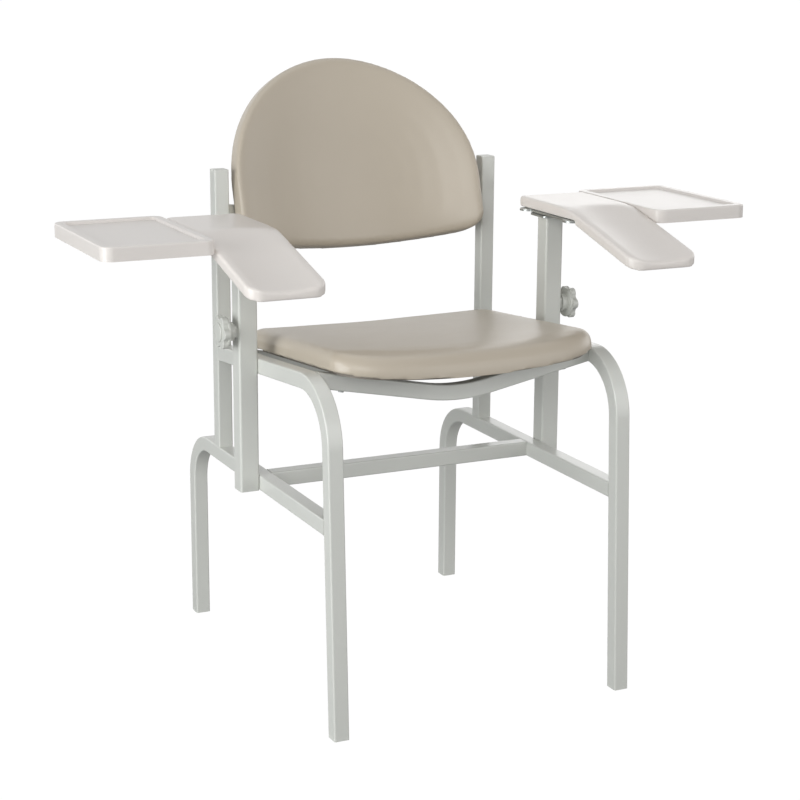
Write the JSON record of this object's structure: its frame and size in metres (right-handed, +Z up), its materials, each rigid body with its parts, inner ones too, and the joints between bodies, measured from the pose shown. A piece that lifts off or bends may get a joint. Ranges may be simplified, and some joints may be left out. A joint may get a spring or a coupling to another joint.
{
  "type": "phlebotomy chair",
  "caption": "Tall blood-drawing chair with a square tube frame, dished seat, curved back, and padded arms with side trays that lift and swivel.",
  "frame": {"origin": "floor level, in the middle of the chair's overall width and depth", "axes": "+Z up, the front faces -Y, +X to the right as a viewer in front of the chair sees it"},
  "size_m": [1.1108, 0.648, 0.979],
  "materials": {
    "frame_paint": "satin",
    "grey_plastic": "satin",
    "glide_plastic": "matte",
    "bright_steel": "polished",
    "washer_plastic": "matte",
    "knob_plastic": "glossy",
    "pad_skin": "satin",
    "tray_plastic": "satin",
    "seat_vinyl": "satin",
    "board_wood": "matte"
  },
  "bodies": {
    "frame": {"lower_cross_bar": "frame_paint", "front_seat_bar": "frame_paint", "rear_seat_bar": "frame_paint", "back_bar": "frame_paint", "seat_board": "board_wood", "seat_cushion": "seat_vinyl", "seat_screws": "bright_steel", "back_board": "board_wood", "back_cushion": "seat_vinyl", "back_screws": "bright_steel", "right_front_leg": "frame_paint", "right_rear_leg": "frame_paint", "right_back_upright": "frame_paint", "right_upright_cap": "grey_plastic", "right_front_glide": "glide_plastic", "right_rear_glide": "glide_plastic", "right_arm_sleeve": "frame_paint", "right_sleeve_plug": "glide_plastic", "right_clamp_boss": "frame_paint", "left_front_leg": "frame_paint", "left_rear_leg": "frame_paint", "left_back_upright": "frame_paint", "left_upright_cap": "grey_plastic", "left_front_glide": "glide_plastic", "left_rear_glide": "glide_plastic", "left_arm_sleeve": "frame_paint", "left_sleeve_plug": "glide_plastic", "left_clamp_boss": "frame_paint"},
    "right_post": {"right_arm_post": "bright_steel", "right_post_head": "bright_steel", "right_swivel_washer": "washer_plastic", "right_pivot_bolt": "bright_steel", "right_pivot_nut": "bright_steel"},
    "right_arm": {"right_arm_plate": "bright_steel", "right_plate_screws": "bright_steel", "right_arm_pad": "pad_skin", "right_tray_straps": "bright_steel", "right_strap_screws": "bright_steel", "right_arm_tray": "tray_plastic"},
    "right_knob": {"right_clamp_knob": "knob_plastic", "right_knob_stud": "bright_steel"},
    "left_post": {"left_arm_post": "bright_steel", "left_post_head": "bright_steel", "left_swivel_washer": "washer_plastic", "left_pivot_bolt": "bright_steel", "left_pivot_nut": "bright_steel"},
    "left_arm": {"left_arm_plate": "bright_steel", "left_plate_screws": "bright_steel", "left_arm_pad": "pad_skin", "left_tray_straps": "bright_steel", "left_strap_screws": "bright_steel", "left_arm_tray": "tray_plastic"},
    "left_knob": {"left_clamp_knob": "knob_plastic", "left_knob_stud": "bright_steel"}
  },
  "joints": [
    {"name": "right_arm_lift", "type": "slide", "parent": "frame", "child": "right_post", "axis": [0, 0, 1], "range_m": [0, 0.12]},
    {"name": "right_arm_swivel", "type": "hinge", "parent": "right_post", "child": "right_arm", "pos_m": [0.276, -0.005, 0.735], "axis": [0, 0, 1], "range_deg": [-30, 45]},
    {"name": "right_clamp_turn", "type": "hinge", "parent": "frame", "child": "right_knob", "pos_m": [0.2975, -0.005, 0.58], "axis": [1, 0, 0], "range_deg": [0, 360]},
    {"name": "left_arm_lift", "type": "slide", "parent": "frame", "child": "left_post", "axis": [0, 0, 1], "range_m": [0, 0.12]},
    {"name": "left_arm_swivel", "type": "hinge", "parent": "left_post", "child": "left_arm", "pos_m": [-0.276, -0.005, 0.735], "axis": [0, 0, 1], "range_deg": [-45, 30]},
    {"name": "left_clamp_turn", "type": "hinge", "parent": "frame", "child": "left_knob", "pos_m": [-0.2975, -0.005, 0.58], "axis": [-1, 0, 0], "range_deg": [0, 360]}
  ]
}
